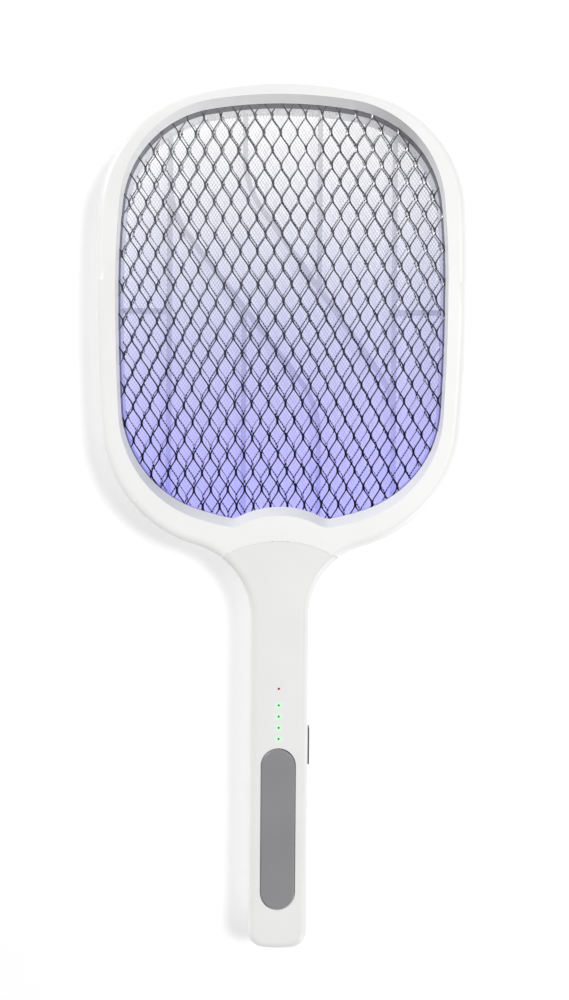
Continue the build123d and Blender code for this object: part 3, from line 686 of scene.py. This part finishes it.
# The circuit board: green lacquer with paler copper tracks under it, and the parts
# that make and store the high voltage.
board_finish = moulded("board_green", (0.025, 0.16, 0.07), 0.3, relief=0.03)
tree = board_finish.node_tree
shader = tree.nodes["Principled BSDF"]
lacquer = shader.inputs["Base Color"].links[0].from_socket
track_width = 0.0004
tracks = put(tree, "TexBrick", offset=0.5, Scale=1.0, Mortar_Size=track_width,
             Brick_Width=0.009, Row_Height=0.0035)
tree.links.new(put(tree, "TexCoord").outputs["Object"], tracks.inputs["Vector"])
over_track = mixed(tree, tracks.outputs["Fac"], lacquer, (0.07, 0.30, 0.12, 1.0))
tree.links.new(over_track, shader.inputs["Base Color"])
dress(board_finish, "circuit_board")
for node, name, colour, roughness in (
    ("transformer_core", "ferrite", (0.045, 0.045, 0.05), 0.6),
    ("transformer_coil", "winding_tape", (0.72, 0.52, 0.06), 0.35),
    ("storage_capacitors", "dipped_film", (0.42, 0.07, 0.03), 0.25),
    ("rectifier_diodes", "diode_black", (0.03, 0.03, 0.032), 0.35),
    ("bleed_resistors", "resistor_lacquer", (0.22, 0.40, 0.55), 0.35),
    ("drive_transistor", "moulded_black", (0.03, 0.03, 0.032), 0.5),
    ("battery_cell", "cell_wrap", (0.02, 0.16, 0.30), 0.28),
    ("mesh_wires", "red_insulation", (0.45, 0.02, 0.02), 0.4),
    ("lamp_wires", "white_insulation", (0.75, 0.75, 0.76), 0.4),
):
    dress(moulded(name, colour, roughness, mottle=0.06), node)


# The screws: zinc-plated pan heads with a cross recess, sunk in the back. One is made,
# and copied into every hole.
head_radius = 0.0023
head_height = 0.0018
head_round = 0.0007
shank_radius = 0.0011
tip_share = 0.3
recess_width = 0.00062
recess_reach = 0.0013
recess_depth = 0.0011


def loose_centres(node):
    """Where the middle of each separate solid of a node of the frame lies, seen from above."""
    shape = bmesh.new()
    shape.from_mesh(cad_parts[node].data)
    bmesh.ops.remove_doubles(shape, verts=shape.verts, dist=1e-6)
    left = set(shape.verts)
    found = []
    while left:
        group = set()
        waiting = [left.pop()]
        while waiting:
            vertex = waiting.pop()
            group.add(vertex)
            for link in vertex.link_edges:
                other = link.other_vert(vertex)
                if other in left:
                    left.discard(other)
                    waiting.append(other)
        xs = [vertex.co.x for vertex in group]
        ys = [vertex.co.y for vertex in group]
        found.append(((min(xs) + max(xs)) / 2, (min(ys) + max(ys)) / 2))
    shape.free()
    return sorted(found)


low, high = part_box("head_screws")
bpy.ops.object.select_all(action="DESELECT")
bpy.ops.mesh.primitive_cylinder_add(vertices=32, radius=head_radius, depth=head_height,
                                    location=(0, 0, low.z + head_height / 2))
screw = bpy.context.object
settle()
bpy.ops.object.mode_set(mode="EDIT")
pick(screw, "EDGE", lambda edge: all(abs(vertex.co.z - low.z) < 1e-6 for vertex in edge.verts))
bpy.ops.mesh.bevel(offset=head_round, segments=4, affect="EDGES")
pick(screw, "FACE", lambda face: face.normal.z > 0.9)
bpy.ops.mesh.inset(thickness=head_radius - shank_radius)
shank = high.z - low.z - head_height - shank_radius
for length in (shank, shank_radius):
    bpy.ops.mesh.extrude_region_move(TRANSFORM_OT_translate={"value": (0, 0, length)})
bpy.ops.transform.resize(value=(tip_share, tip_share, 1.0))
bpy.ops.object.mode_set(mode="OBJECT")
for turn in (0.0, math.pi / 2):
    bpy.ops.object.select_all(action="DESELECT")
    bpy.ops.mesh.primitive_cube_add(size=1.0, location=(0, 0, low.z), rotation=(0, 0, turn),
                                    scale=(2 * recess_reach, recess_width, 2 * recess_depth))
    cutter = bpy.context.object
    use(screw, "BOOLEAN", operation="DIFFERENCE", object=cutter, solver="EXACT")
    bpy.data.objects.remove(cutter)
alone(screw)
bpy.ops.object.shade_smooth_by_angle(angle=crease)
zinc = bare_metal("zinc_plated", (0.55, 0.56, 0.58), 0.32)
screw.data.materials.append(zinc)
for node in ("head_screws", "handle_screws"):
    group = []
    for x, y in loose_centres(node):
        copy = into_scene(node, screw.data.copy())
        copy.location = (x, y, 0)
        group.append(copy)
    alone(group[0])
    for copy in group:
        copy.select_set(True)
    settle()
    bpy.ops.object.join()
    driven = bpy.context.object
    driven.name = node.replace("screws", "cross_screws")
    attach(driven, "casing")
    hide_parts(node)
bpy.data.objects.remove(screw)
